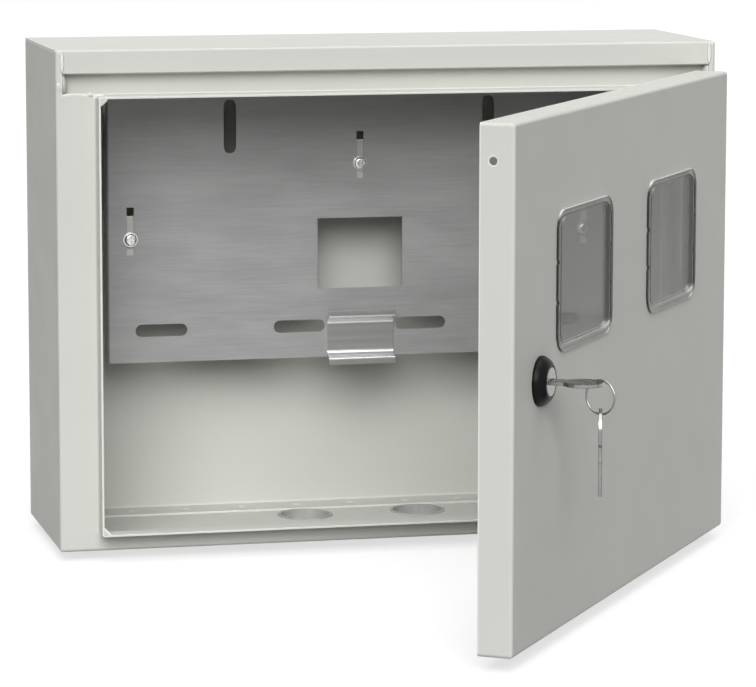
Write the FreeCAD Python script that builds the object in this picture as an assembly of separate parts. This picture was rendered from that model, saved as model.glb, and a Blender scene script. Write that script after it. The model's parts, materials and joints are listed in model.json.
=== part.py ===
import FreeCAD, Part
import math
import os

# Wall box for two electric meters, in millimetres: X right, Y into the wall, Z up.
# The origin is the middle of the four wall holes, on the back face.
WIDTH = 420.0
HEIGHT = 310.0
BODY_DEPTH = 129.0
SHEET = 1.2
BEND = 2.0
PAST = 5.0
TOUCH = 1e-4

# Front frame: posts, bottom rail, visor, and the lip folded forward round the mouth
POST_WIDTH = 25.5
RAIL_HEIGHT = 12.2
TOP_BAND = 29.0
LIP_REACH = 13.0
LIP_BEND = 1.2
CORNER_CUT = 4.0
LIP_CORNER = 1.0
VISOR_HEIGHT = 14.6
VISOR_RECESS = 8.0
VISOR_BEND = 1.0
STRIP_WIDTH = 4.0
POST_RISE = 1.8
SEAM = 0.05

# Back tray and wall holes
TRAY_FLANGE = 26.0
WALL_FROM_SIDE = 35.0
WALL_FROM_END = 45.0
WALL_HOLE = 8.0

# Cable grommets in the bottom
GROMMET_PITCH = 75.0
GROMMET_CLEAR = 1.2
GROMMET_HOLE = 34.0
GROMMET_BEAD = 0.8
GROMMET_FLANGE = 2.0
GROMMET_DROP = 6.0
GROMMET_WALL = 1.2

# Galvanised mounting plate on three brackets
PLATE_FROM_FRONT = 88.0
PLATE_SHEET = 1.0
PLATE_FROM_SIDE = 45.0
PLATE_BOTTOM = 103.8
PLATE_TOP = 290.0
PLATE_FLANGE = 12.0
PLATE_BEND = 1.6
METER_PITCH = 170.4
TOP_SLOT_LOW = 237.2
TOP_SLOT_LENGTH = 34.3
LOW_SLOT_PITCH = 90.2
LOW_SLOT_LENGTH = 33.5
LOW_SLOT_HEIGHT = 124.3
METER_SLOT_WIDTH = 8.0
WINDOW_CUT_WIDTH = 56.0
WINDOW_CUT_HEIGHT = 45.5
WINDOW_CUT_LOW = 148.4
FIX_PITCH = 300.0
FIX_SIDE_HEIGHT = 183.2
FIX_TOP_HEIGHT = 229.3
FIX_SLOT_WIDTH = 4.6
FIX_SLOT_UP = 20.5
FIX_SLOT_DOWN = 10.0
BRACKET_HEIGHT = 30.0
BRACKET_WEB = 22.0
BRACKET_SHEET = 1.5
BRACKET_FOOT = 10.0
BRACKET_BEND = 2.3

# Screws that hold the plate
SCREW_THREAD = 4.0
SCREW_LENGTH = 10.0
SCREW_HEAD = 9.6
SCREW_HEAD_RISE = 2.9
SCREW_FLANGE = 0.8
SCREW_CROWN = 1.7
CROSS_WIDTH = 1.0
CROSS_LENGTH = 5.0
CROSS_DEPTH = 1.7

# Standard 35 mm rail
RAIL_TALL = 35.0
RAIL_WEB = 25.0
RAIL_DEPTH = 7.5
RAIL_SHEET = 1.0
RAIL_LENGTH = 44.0
RAIL_TOP_HEIGHT = 134.5
RAIL_BEND = 4.5
RAIL_LIP_BEND = 0.8

# Door pan
DOOR_MARGIN = 2.0
DOOR_TOP_GAP = 3.4
DOOR_GAP = 1.0
DOOR_DEPTH = 20.0
DOOR_BEND = 2.0
DOOR_REST = 56.0
SEAL_HOLE = 4.7
SEAL_HOLE_IN = 12.2
SEAL_HOLE_DOWN = 20.4

# Hinges: an arm on the right post and an arm in the door, on one pin
HINGE_IN = 4.2
HINGE_FORWARD = 11.6
HINGE_FROM_END = 55.0
PIN_RADIUS = 2.0
PIN_HEAD_RADIUS = 3.4
PIN_HEAD = 2.0
RUN_FIT = 0.05
ARM_SHEET = 3.0
ARM_ROUND = 3.6
ARM_BACK = 12.0
ARM_BASE = 14.0
ARM_BASE_SHEET = 2.0
ARM_GAP = 0.1
NOTCH_CLEAR = 2.0

# Door seal strip
SEAL_WIDTH = 10.0
SEAL_CLEAR = 0.5

# Clear windows
PANE_PITCH = 171.0
PANE_MIDDLE_HEIGHT = 198.5
PANE_WIDTH = 101.0
PANE_HEIGHT = 79.6
PANE_CORNER = 12.0
PANE_RIM = 3.0
PANE_FLANGE = 1.5
PANE_EDGE = 1.0
PANE_THICK = 2.0
PANE_SINK = 0.6
PANE_BORDER = 4.6
PANE_FIT = 0.3
PANE_HOOK = 1.4
PANE_HOOK_LENGTH = 20.0
PANE_NOTCH = 2.4
PANE_NOTCH_IN = 1.2
PANE_REACH = 1.6

# Cam lock
LOCK_FROM_EDGE = 44.5
LOCK_HEIGHT = 147.8
ROSETTE_RADIUS = 14.0
ROSETTE_RIM = 1.2
ROSETTE_RISE = 6.7
ROSETTE_BULGE = 0.6
ROSETTE_TOP = 9.3
FACE_RADIUS = 8.0
FACE_THICK = 1.5
FACE_FIT = 0.2
BARREL_RADIUS = 9.0
BARREL_FIT = 0.2
PLUG_RADIUS = 6.0
NUT_ACROSS = 24.0
NUT_THICK = 4.0
CAM_THICK = 2.0
CAM_WIDTH = 14.0
CAM_LENGTH = 38.0
CAM_CLEAR = 0.8
CAM_SQUARE = 7.0
SQUARE_FIT = 0.1
BARREL_BACK = 0.4
CAM_SCREW_RADIUS = 2.4
CAM_SCREW_HEAD = 4.5
CAM_SCREW_RISE = 3.0
CAM_SCREW_DEEP = 6.5

# Keys and ring
KEY_THICK = 2.0
KEY_OUT = 29.2
KEY_BLADE = 19.0
KEY_BLADE_WIDTH = 7.5
KEY_NECK_WIDTH = 11.0
KEY_NECK = 5.0
BOW_RADIUS = 11.0
KEY_HOLE = 8.6
KEY_WEB = 2.2
KEY_FIT = 0.3
KEY_NOTCHES = 4
NOTCH_DEEP = 1.1
NOTCH_STEP = 3.6
RING_RADIUS = 9.3
RING_WIRE = 0.65
RING_OVER_WEB = 1.75
RING_TURN = -17.0
SPARE_TURN = 17.0
SPARE_HANG = 0.3

# Earth studs
STUD_RADIUS = 3.0
STUD_LENGTH = 18.0
DOOR_STUD_LENGTH = 12.0
STUD_NUT_ACROSS = 10.0
STUD_NUT_THICK = 5.0
STUD_WASHER = 6.0
STUD_WASHER_THICK = 1.4
EARTH_FROM_SIDE = 38.0
DOOR_EARTH_FROM_SIDE = 60.0
EARTH_UP = 35.0

# Places worked out from the sizes above
HALF_WIDTH = WIDTH / 2
WALL_PITCH_X = WIDTH - 2 * WALL_FROM_SIDE
WALL_PITCH_Z = HEIGHT - 2 * WALL_FROM_END
GROMMET_Y = -(TRAY_FLANGE + GROMMET_CLEAR + GROMMET_BEAD + GROMMET_HOLE / 2)
TOP = HEIGHT / 2
BOTTOM = -HEIGHT / 2
FRONT = -BODY_DEPTH
SIDE_TOP = TOP - SHEET
OPEN_HALF = HALF_WIDTH - POST_WIDTH
OPEN_BOTTOM = BOTTOM + RAIL_HEIGHT
OPEN_TOP = TOP - TOP_BAND
POST_TOP = OPEN_TOP + POST_RISE
VISOR_BOTTOM = TOP - VISOR_HEIGHT
LIP_FRONT = FRONT - LIP_REACH
RAIL_Y = FRONT + VISOR_RECESS
MOUTH_FLAT = OPEN_HALF - CORNER_CUT
PLATE_Y = FRONT + PLATE_FROM_FRONT
DOOR_BACK = FRONT - DOOR_GAP
DOOR_FRONT = DOOR_BACK - DOOR_DEPTH
DOOR_INSIDE = DOOR_FRONT + SHEET
DOOR_LEFT = -HALF_WIDTH + DOOR_MARGIN
DOOR_RIGHT = HALF_WIDTH - DOOR_MARGIN
DOOR_BOTTOM = BOTTOM + DOOR_MARGIN
DOOR_TOP = VISOR_BOTTOM - DOOR_TOP_GAP
HINGE_LOW = BOTTOM + HINGE_FROM_END
HINGE_HIGH = TOP - HINGE_FROM_END
HINGE_X = DOOR_RIGHT - HINGE_IN
HINGE_Y = FRONT - HINGE_FORWARD
LOCK_X = DOOR_LEFT + LOCK_FROM_EDGE
LOCK_Z = BOTTOM + LOCK_HEIGHT
FACE_Y = DOOR_FRONT - ROSETTE_RISE
CAM_Y = FRONT + SHEET + CAM_CLEAR
BOW_END_Y = FACE_Y - KEY_OUT
KEY_LENGTH = KEY_OUT + KEY_BLADE
WEB_Y = BOW_END_Y + KEY_WEB / 2
RING_Z = LOCK_Z + RING_OVER_WEB - (RING_RADIUS - RING_WIRE)
RING_LOW_Z = RING_Z - RING_RADIUS
SPARE_TOP_Z = RING_LOW_Z + RING_WIRE + SPARE_HANG + KEY_WEB
PANE_Z = BOTTOM + PANE_MIDDLE_HEIGHT
EARTH_X = HALF_WIDTH - EARTH_FROM_SIDE
DOOR_EARTH_X = HALF_WIDTH - DOOR_EARTH_FROM_SIDE


def point(x, y, z):
    return FreeCAD.Vector(x, y, z)


X_AXIS = point(1, 0, 0)
Y_AXIS = point(0, 1, 0)
Z_AXIS = point(0, 0, 1)


def box(x0, x1, y0, y1, z0, z1):
    return Part.makeBox(x1 - x0, y1 - y0, z1 - z0, point(x0, y0, z0))


def rod_y(x, z, y0, y1, radius):
    return Part.makeCylinder(radius, y1 - y0, point(x, y0, z), Y_AXIS)


def rod_z(x, y, z0, z1, radius):
    return Part.makeCylinder(radius, z1 - z0, point(x, y, z0), Z_AXIS)


def edges_at(shape, along, **near):
    """Straight edges along one axis whose middle has the given coordinates."""
    found = []
    for edge in shape.Edges:
        if edge.Degenerated or edge.Curve.TypeId != "Part::GeomLine":
            continue
        start, end = edge.Vertexes[0].Point, edge.Vertexes[-1].Point
        run = end - start
        if abs(getattr(run, along)) < 0.999 * run.Length:
            continue
        middle = (start + end) * 0.5
        if all(abs(getattr(middle, name) - value) < TOUCH for name, value in near.items()):
            found.append(edge)
    return found


def circles_at(shape, along, level):
    """Round edges whose middle lies at a level on one axis."""
    found = []
    for edge in shape.Edges:
        if edge.Degenerated or edge.Curve.TypeId != "Part::GeomCircle":
            continue
        if abs(getattr(edge.Curve.Center, along) - level) < TOUCH:
            found.append(edge)
    return found


def prism_y(points, y0, y1):
    """Solid between two depths on an outline of (x, z) points."""
    corners = [point(x, y0, z) for x, z in points]
    outline = Part.makePolygon(corners + corners[:1])
    return Part.Face(outline).extrude(point(0, y1 - y0, 0))


def rounded_plate(x, z, width, height, radius, y0, y1):
    """Plate with round corners, facing the front."""
    plate = box(x - width / 2, x + width / 2, y0, y1, z - height / 2, z + height / 2)
    upright = [edge for edge in plate.Edges if abs(edge.Length - (y1 - y0)) < TOUCH
               and abs(edge.Vertexes[0].Y - edge.Vertexes[-1].Y) > TOUCH]
    return plate.makeFillet(radius, upright)


def slot_y(x, z, length, width, y0, y1, upright=False):
    """Round-ended bar between two depths, for slots and the lock's cam."""
    half = (length - width) / 2
    dx, dz = (0, half) if upright else (half, 0)
    ends = rod_y(x - dx, z - dz, y0, y1, width / 2).fuse(rod_y(x + dx, z + dz, y0, y1, width / 2))
    side_x, side_z = (width / 2, half) if upright else (half, width / 2)
    return ends.fuse(box(x - side_x, x + side_x, y0, y1, z - side_z, z + side_z)).removeSplitter()


def hexagon_y(x, z, across, y0, y1):
    radius = across / math.sqrt(3)
    points = []
    for step in range(6):
        turn = math.radians(60 * step)
        points.append((x + radius * math.cos(turn), z + radius * math.sin(turn)))
    return prism_y(points, y0, y1)


def bent_box(x0, x1, y0, y1, z0, z1, radius):
    """Block with its side, bottom and front folds rounded."""
    block = box(x0, x1, y0, y1, z0, z1)
    folds = edges_at(block, "x", y=y0, z=z0)
    for x in (x0, x1):
        folds += edges_at(block, "y", x=x, z=z0) + edges_at(block, "z", x=x, y=y0)
    return block.makeFillet(radius, folds)


def even_cut(grow):
    """Corner cut that stays at an even distance from the mouth's, for an outline moved outward by grow."""
    return CORNER_CUT + grow * (2 - math.sqrt(2))


def mouth_prism(grow, cut, y0, y1):
    """Mouth outline moved outward by grow, with its corners cut off."""
    half = OPEN_HALF + grow
    low, high = OPEN_BOTTOM - grow, OPEN_TOP + grow
    points = [(-half + cut, low), (half - cut, low), (half, low + cut), (half, high - cut),
              (half - cut, high), (-half + cut, high), (-half, high - cut), (-half, low + cut)]
    return prism_y(points, y0, y1)


# Body: sides, bottom, posts, bottom rail and their lip, folded from one sheet
def make_body_shell():
    outer = bent_box(-HALF_WIDTH, HALF_WIDTH, FRONT, 0, BOTTOM, SIDE_TOP, BEND)
    inner = bent_box(-HALF_WIDTH + SHEET, HALF_WIDTH - SHEET, FRONT + SHEET, PAST,
                     BOTTOM + SHEET, SIDE_TOP + PAST, BEND - SHEET)
    shell = outer.cut(inner)
    shell = shell.cut(mouth_prism(0, CORNER_CUT, FRONT - PAST, FRONT + SHEET + TOUCH))
    lip = mouth_prism(SHEET, LIP_CORNER, LIP_FRONT, FRONT + SHEET)
    lip = lip.cut(mouth_prism(0, CORNER_CUT, LIP_FRONT - PAST, PAST))
    shell = shell.fuse(lip)
    shell = shell.cut(box(-MOUTH_FLAT, MOUTH_FLAT, LIP_FRONT - PAST, FRONT + PAST, 0, TOP))
    strip = HALF_WIDTH - STRIP_WIDTH
    shell = shell.cut(box(-strip, strip, FRONT - TOUCH, FRONT + SHEET + TOUCH, POST_TOP, TOP))
    shell = shell.removeSplitter()
    shell = round_lip(shell)
    for side in (-1, 1):
        x = side * GROMMET_PITCH / 2
        shell = shell.cut(rod_z(x, GROMMET_Y, BOTTOM - PAST, BOTTOM + SHEET + PAST, GROMMET_HOLE / 2))
    return shell


def round_lip(shell):
    """Bend radii where the lip turns out of the frame."""
    outside = edges_at(shell, "x", y=FRONT, z=OPEN_BOTTOM - SHEET)
    for side in (-1, 1):
        outside += edges_at(shell, "z", y=FRONT, x=side * (OPEN_HALF + SHEET))
    shell = shell.makeFillet(LIP_BEND, outside)
    inside = edges_at(shell, "x", y=FRONT + SHEET, z=OPEN_BOTTOM)
    for side in (-1, 1):
        inside += edges_at(shell, "z", y=FRONT + SHEET, x=side * OPEN_HALF)
    return shell.makeFillet(LIP_BEND + SHEET, inside)


# Roof: top sheet, visor, recessed rail and the mouth's top lip, folded from one sheet
def make_roof_panel():
    across = HALF_WIDTH - STRIP_WIDTH - SEAM
    between = HALF_WIDTH - BEND
    roof = box(-HALF_WIDTH, HALF_WIDTH, FRONT, 0, SIDE_TOP, TOP)
    roof = roof.fuse(box(-across, across, FRONT, FRONT + SHEET, VISOR_BOTTOM, TOP))
    roof = roof.fuse(box(-across, across, FRONT, RAIL_Y + SHEET, VISOR_BOTTOM, VISOR_BOTTOM + SHEET))
    roof = roof.fuse(box(-between, between, RAIL_Y, RAIL_Y + SHEET, OPEN_TOP, VISOR_BOTTOM + SHEET))
    roof = roof.fuse(box(-between, between, FRONT + SHEET, RAIL_Y + SHEET, OPEN_TOP, OPEN_TOP + SHEET))
    roof = roof.fuse(box(-MOUTH_FLAT, MOUTH_FLAT, LIP_FRONT, RAIL_Y + SHEET, OPEN_TOP, OPEN_TOP + SHEET))
    roof = roof.removeSplitter()
    folds = edges_at(roof, "x", y=FRONT, z=TOP) + edges_at(roof, "x", y=FRONT, z=VISOR_BOTTOM)
    return roof.makeFillet(VISOR_BEND, folds)


# Back tray with flanges against the body, and the wall holes
def make_back_panel():
    half = HALF_WIDTH - SHEET
    low, high = BOTTOM + SHEET, SIDE_TOP
    outer = box(-half, half, -TRAY_FLANGE, 0, low, high)
    inner = box(-half + SHEET, half - SHEET, -TRAY_FLANGE - PAST, -SHEET, low + SHEET, high - SHEET)
    tray = outer.cut(inner)
    folds = edges_at(tray, "y", x=-half) + edges_at(tray, "y", x=half)
    folds += edges_at(tray, "z", y=0) + edges_at(tray, "x", y=0)
    tray = tray.makeFillet(BEND, folds)
    bends = edges_at(tray, "z", y=-SHEET) + edges_at(tray, "x", y=-SHEET)
    tray = tray.makeFillet(BEND - SHEET, bends)
    for x in (-WALL_PITCH_X / 2, WALL_PITCH_X / 2):
        for z in (-WALL_PITCH_Z / 2, WALL_PITCH_Z / 2):
            tray = tray.cut(rod_y(x, z, -PAST, PAST, WALL_HOLE / 2))
    return tray


# Cable grommet: a cup pressed into a hole of the bottom, closed by a ribbed floor
def make_grommet(x):
    y = GROMMET_Y
    hole = GROMMET_HOLE / 2
    inside = BOTTOM + SHEET
    body = rod_z(x, y, BOTTOM - GROMMET_DROP, inside, hole)
    body = body.fuse(rod_z(x, y, inside, inside + GROMMET_BEAD, hole + GROMMET_BEAD))
    body = body.fuse(rod_z(x, y, BOTTOM - GROMMET_FLANGE, BOTTOM, hole + GROMMET_FLANGE))
    floor = BOTTOM - GROMMET_DROP + GROMMET_WALL
    body = body.cut(rod_z(x, y, floor, inside + PAST, hole - GROMMET_WALL))
    rib = GROMMET_WALL / 2
    reach = hole - rib
    body = body.fuse(box(x - reach, x + reach, y - rib, y + rib, floor, floor + GROMMET_WALL))
    body = body.fuse(box(x - rib, x + rib, y - reach, y + reach, floor, floor + GROMMET_WALL))
    return body.removeSplitter()


def fix_points():
    """Middle of each plate screw, left, top and right."""
    return [(-FIX_PITCH / 2, BOTTOM + FIX_SIDE_HEIGHT), (0, BOTTOM + FIX_TOP_HEIGHT),
            (FIX_PITCH / 2, BOTTOM + FIX_SIDE_HEIGHT)]


# Mounting plate with its slots and window
def make_mounting_plate():
    half = HALF_WIDTH - PLATE_FROM_SIDE
    low, high = BOTTOM + PLATE_BOTTOM, BOTTOM + PLATE_TOP
    back = PLATE_Y + PLATE_SHEET
    outer = box(-half, half, PLATE_Y, PLATE_Y + PLATE_FLANGE, low, high)
    folds = edges_at(outer, "z", x=-half, y=PLATE_Y) + edges_at(outer, "z", x=half, y=PLATE_Y)
    outer = outer.makeFillet(PLATE_BEND, folds)
    inside = half - PLATE_SHEET
    hollow = box(-inside, inside, back, back + PLATE_FLANGE, low - PAST, high + PAST)
    bends = edges_at(hollow, "z", y=back)
    plate = outer.cut(hollow.makeFillet(PLATE_BEND - PLATE_SHEET, bends))
    y0, y1 = PLATE_Y - PAST, back + TOUCH
    window_low = BOTTOM + WINDOW_CUT_LOW
    plate = plate.cut(box(-WINDOW_CUT_WIDTH / 2, WINDOW_CUT_WIDTH / 2, y0, y1,
                          window_low, window_low + WINDOW_CUT_HEIGHT))
    for meter in (-METER_PITCH / 2, METER_PITCH / 2):
        top_z = BOTTOM + TOP_SLOT_LOW + TOP_SLOT_LENGTH / 2
        plate = plate.cut(slot_y(meter, top_z, TOP_SLOT_LENGTH, METER_SLOT_WIDTH, y0, y1, upright=True))
        for x in (meter - LOW_SLOT_PITCH / 2, meter + LOW_SLOT_PITCH / 2):
            low_z = BOTTOM + LOW_SLOT_HEIGHT
            plate = plate.cut(slot_y(x, low_z, LOW_SLOT_LENGTH, METER_SLOT_WIDTH, y0, y1))
    for x, z in fix_points():
        plate = plate.cut(box(x - FIX_SLOT_WIDTH / 2, x + FIX_SLOT_WIDTH / 2, y0, y1,
                              z - FIX_SLOT_DOWN, z + FIX_SLOT_UP))
    return plate


# Hat-shaped bracket between the back tray and the plate
def make_bracket(x, z):
    web_y = PLATE_Y + PLATE_SHEET
    half = BRACKET_WEB / 2
    low, high = z - BRACKET_HEIGHT / 2, z + BRACKET_HEIGHT / 2
    outer = box(x - half, x + half, web_y, -SHEET, low, high)
    folds = edges_at(outer, "z", x=x - half, y=web_y) + edges_at(outer, "z", x=x + half, y=web_y)
    outer = outer.makeFillet(BRACKET_BEND, folds)
    inside_y = web_y + BRACKET_SHEET
    inside = half - BRACKET_SHEET
    inner = box(x - inside, x + inside, inside_y, PAST, low - PAST, high + PAST)
    bends = edges_at(inner, "z", y=inside_y)
    hat = outer.cut(inner.makeFillet(BRACKET_BEND - BRACKET_SHEET, bends))
    foot_y = -SHEET - BRACKET_SHEET
    for side in (-1, 1):
        edge = x + side * half
        tip = edge + side * BRACKET_FOOT
        root = edge - side * BRACKET_SHEET
        hat = hat.fuse(box(min(root, tip), max(root, tip), foot_y, -SHEET, low, high))
    hat = hat.removeSplitter()
    return hat.cut(rod_y(x, z, web_y - PAST, web_y + BRACKET_SHEET + TOUCH, SCREW_THREAD / 2))


def cross_recess(x, z, y0, y1):
    """Cutter for the crossed slots of a screw head."""
    wide, narrow = CROSS_LENGTH / 2, CROSS_WIDTH / 2
    upright = box(x - narrow, x + narrow, y0, y1, z - wide, z + wide)
    return upright.fuse(box(x - wide, x + wide, y0, y1, z - narrow, z + narrow))


# Cross-head screw with a flanged pan head
def make_plate_screw(x, z):
    radius = SCREW_HEAD / 2
    under = PLATE_Y
    shank = rod_y(x, z, under, under + SCREW_LENGTH, SCREW_THREAD / 2)
    flange = rod_y(x, z, under - SCREW_FLANGE, under, radius)
    pan_radius = radius - SCREW_FLANGE
    pan = rod_y(x, z, under - SCREW_HEAD_RISE, under - SCREW_FLANGE, pan_radius)
    crest = under - SCREW_HEAD_RISE
    pan = pan.makeFillet(SCREW_CROWN, circles_at(pan, "y", crest))
    screw = shank.fuse(flange).fuse(pan).removeSplitter()
    return screw.cut(cross_recess(x, z, crest - PAST, crest + CROSS_DEPTH))


# Short length of 35 mm rail on the plate
def make_din_rail():
    middle = BOTTOM + RAIL_TOP_HEIGHT - RAIL_TALL / 2
    half = RAIL_LENGTH / 2
    inner, outer = RAIL_WEB / 2, RAIL_WEB / 2 + RAIL_SHEET
    tip = RAIL_TALL / 2
    y_web, y_front = PLATE_Y - RAIL_SHEET, PLATE_Y - RAIL_DEPTH
    rail = box(-half, half, y_web, PLATE_Y, middle - outer, middle + outer)
    for side in (-1, 1):
        wall = sorted((middle + side * inner, middle + side * outer))
        lip = sorted((middle + side * inner, middle + side * tip))
        rail = rail.fuse(box(-half, half, y_front, PLATE_Y, wall[0], wall[1]))
        rail = rail.fuse(box(-half, half, y_front, y_front + RAIL_SHEET, lip[0], lip[1]))
    rail = rail.removeSplitter()
    for y, reach, radius in ((y_web, inner, RAIL_BEND), (PLATE_Y, outer, RAIL_BEND + RAIL_SHEET),
                             (y_front + RAIL_SHEET, outer, RAIL_LIP_BEND),
                             (y_front, inner, RAIL_LIP_BEND + RAIL_SHEET)):
        bends = edges_at(rail, "x", y=y, z=middle + reach) + edges_at(rail, "x", y=y, z=middle - reach)
        rail = rail.makeFillet(radius, bends)
    return rail


# Hinge arm levels: the body's arm lies under the door's arm
def arm_levels(middle):
    low = middle - ARM_SHEET
    return low, middle, middle + ARM_GAP, middle + ARM_GAP + ARM_SHEET


def make_hinge_bracket(middle):
    low, high, _, _ = arm_levels(middle)
    left = HINGE_X - ARM_BACK
    right = HINGE_X + ARM_ROUND
    arm = box(left, right, HINGE_Y, FRONT, low, high)
    arm = arm.fuse(rod_z(HINGE_X, HINGE_Y, low, high, ARM_ROUND))
    arm = arm.cut(box(left - PAST, HINGE_X - ARM_ROUND, HINGE_Y - PAST, HINGE_Y + ARM_ROUND, low, high))
    base = box(left, right, FRONT - ARM_BASE_SHEET, FRONT, low - ARM_BASE, high)
    bracket = arm.fuse(base).removeSplitter()
    return bracket.cut(rod_z(HINGE_X, HINGE_Y, low - PAST, high + PAST, PIN_RADIUS))


def make_door_arm(middle):
    _, _, low, high = arm_levels(middle)
    left = HINGE_X - ARM_BACK
    right = DOOR_RIGHT - DOOR_BEND
    arm = box(HINGE_X - ARM_ROUND, right, DOOR_INSIDE, HINGE_Y, low, high)
    arm = arm.fuse(rod_z(HINGE_X, HINGE_Y, low, high, ARM_ROUND))
    arm = arm.fuse(box(left, right, DOOR_INSIDE, DOOR_INSIDE + ARM_BASE_SHEET, low, high + ARM_BASE))
    arm = arm.removeSplitter()
    return arm.cut(rod_z(HINGE_X, HINGE_Y, low - PAST, high + PAST, PIN_RADIUS + RUN_FIT))


def make_hinge_pin(middle):
    low, _, _, high = arm_levels(middle)
    head_low = high + ARM_GAP
    pin = rod_z(HINGE_X, HINGE_Y, low, head_low, PIN_RADIUS)
    head = rod_z(HINGE_X, HINGE_Y, head_low, head_low + PIN_HEAD, PIN_HEAD_RADIUS)
    crown = circles_at(head, "z", head_low + PIN_HEAD)
    return pin.fuse(head.makeFillet(PIN_HEAD / 2, crown)).removeSplitter()


def hinge_notch(middle):
    """Gap in the door's hinge side that lets the body's arm through."""
    low, _, _, high = arm_levels(middle)
    return box(HINGE_X, DOOR_RIGHT + PAST, DOOR_FRONT + DOOR_BEND, DOOR_BACK + PAST,
               low - ARM_BASE - NOTCH_CLEAR, high + ARM_GAP + PIN_HEAD + NOTCH_CLEAR)


# Door pan, shut; it is turned open with everything on it at the end
def make_door_panel():
    outer = box(DOOR_LEFT, DOOR_RIGHT, DOOR_FRONT, DOOR_BACK, DOOR_BOTTOM, DOOR_TOP)
    folds = edges_at(outer, "x", y=DOOR_FRONT) + edges_at(outer, "z", y=DOOR_FRONT) + edges_at(outer, "y")
    outer = outer.makeFillet(DOOR_BEND, folds)
    inner = box(DOOR_LEFT + SHEET, DOOR_RIGHT - SHEET, DOOR_INSIDE, DOOR_BACK + PAST,
                DOOR_BOTTOM + SHEET, DOOR_TOP - SHEET)
    bends = edges_at(inner, "x", y=DOOR_INSIDE) + edges_at(inner, "z", y=DOOR_INSIDE) + edges_at(inner, "y")
    pan = outer.cut(inner.makeFillet(DOOR_BEND - SHEET, bends))
    y0, y1 = DOOR_FRONT - PAST, DOOR_INSIDE + TOUCH
    for x in (-PANE_PITCH / 2, PANE_PITCH / 2):
        pan = pan.cut(rounded_plate(x, PANE_Z, PANE_WIDTH - 2 * PANE_RIM, PANE_HEIGHT - 2 * PANE_RIM,
                                    PANE_CORNER - PANE_RIM, y0, y1))
    pan = pan.cut(rod_y(LOCK_X, LOCK_Z, y0, y1, BARREL_RADIUS + BARREL_FIT))
    hole = Part.makeCylinder(SEAL_HOLE / 2, 2 * PAST, point(DOOR_LEFT - PAST, DOOR_FRONT + SEAL_HOLE_IN,
                                                            DOOR_TOP - SEAL_HOLE_DOWN), X_AXIS)
    pan = pan.cut(hole)
    for middle in (HINGE_LOW, HINGE_HIGH):
        pan = pan.cut(hinge_notch(middle))
    return pan


# Clear window: a flange on the door's face, a pane, and hooks behind the sheet
def make_window(x):
    cut_width, cut_height = PANE_WIDTH - 2 * PANE_RIM, PANE_HEIGHT - 2 * PANE_RIM
    cut_corner = PANE_CORNER - PANE_RIM
    flange_y = DOOR_FRONT - PANE_FLANGE
    back = DOOR_INSIDE + PANE_REACH
    flange = rounded_plate(x, PANE_Z, PANE_WIDTH, PANE_HEIGHT, PANE_CORNER, flange_y, DOOR_FRONT)
    brow = [edge for edge in flange.Edges if abs(edge.BoundBox.YMax - flange_y) < TOUCH]
    flange = flange.makeFillet(PANE_EDGE, brow)
    plug_width, plug_height = cut_width - 2 * PANE_FIT, cut_height - 2 * PANE_FIT
    window = flange.fuse(rounded_plate(x, PANE_Z, plug_width, plug_height, cut_corner - PANE_FIT,
                                       DOOR_FRONT, back))
    sunk = flange_y + PANE_SINK
    face_width, face_height = PANE_WIDTH - 2 * PANE_BORDER, PANE_HEIGHT - 2 * PANE_BORDER
    face_corner = PANE_CORNER - PANE_BORDER
    window = window.cut(rounded_plate(x, PANE_Z, face_width, face_height, face_corner,
                                      flange_y - PAST, sunk))
    window = window.cut(rounded_plate(x, PANE_Z, face_width, face_height, face_corner,
                                      sunk + PANE_THICK, back + PAST))
    hook_y = DOOR_INSIDE + PANE_FIT
    half = PANE_HOOK_LENGTH / 2
    for side in (-1, 1):
        root_x, tip_x = side * (plug_width / 2 - PANE_HOOK), side * (cut_width / 2 + PANE_HOOK)
        root_z, tip_z = side * (plug_height / 2 - PANE_HOOK), side * (cut_height / 2 + PANE_HOOK)
        window = window.fuse(box(x + min(root_x, tip_x), x + max(root_x, tip_x), hook_y, back,
                                 PANE_Z - half, PANE_Z + half))
        window = window.fuse(box(x - half, x + half, hook_y, back,
                                 PANE_Z + min(root_z, tip_z), PANE_Z + max(root_z, tip_z)))
    return window.removeSplitter().cut(pane_notches(x, flange_y))


def pane_notches(x, flange_y):
    """Relief notches in the flange's left and right edges, at the ends of the hooks."""
    notches = []
    for side in (-1, 1):
        edge = x + side * PANE_WIDTH / 2
        inward = edge - side * PANE_NOTCH_IN
        outward = edge + side * PAST
        for end in (-1, 1):
            middle = PANE_Z + end * (PANE_HOOK_LENGTH + PANE_NOTCH) / 2
            notches.append(box(min(inward, outward), max(inward, outward), flange_y - PAST, DOOR_FRONT,
                               middle - PANE_NOTCH / 2, middle + PANE_NOTCH / 2))
    return Part.makeCompound(notches)


# Foam strip inside the door that the mouth's lip presses on
def make_door_seal():
    seal_y = LIP_FRONT - SEAL_CLEAR
    outward = (SEAL_WIDTH + SHEET) / 2
    inward = outward - SEAL_WIDTH
    strip = mouth_prism(outward, even_cut(outward), DOOR_INSIDE, seal_y)
    return strip.cut(mouth_prism(inward, even_cut(inward), DOOR_INSIDE - PAST, seal_y + PAST))


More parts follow.
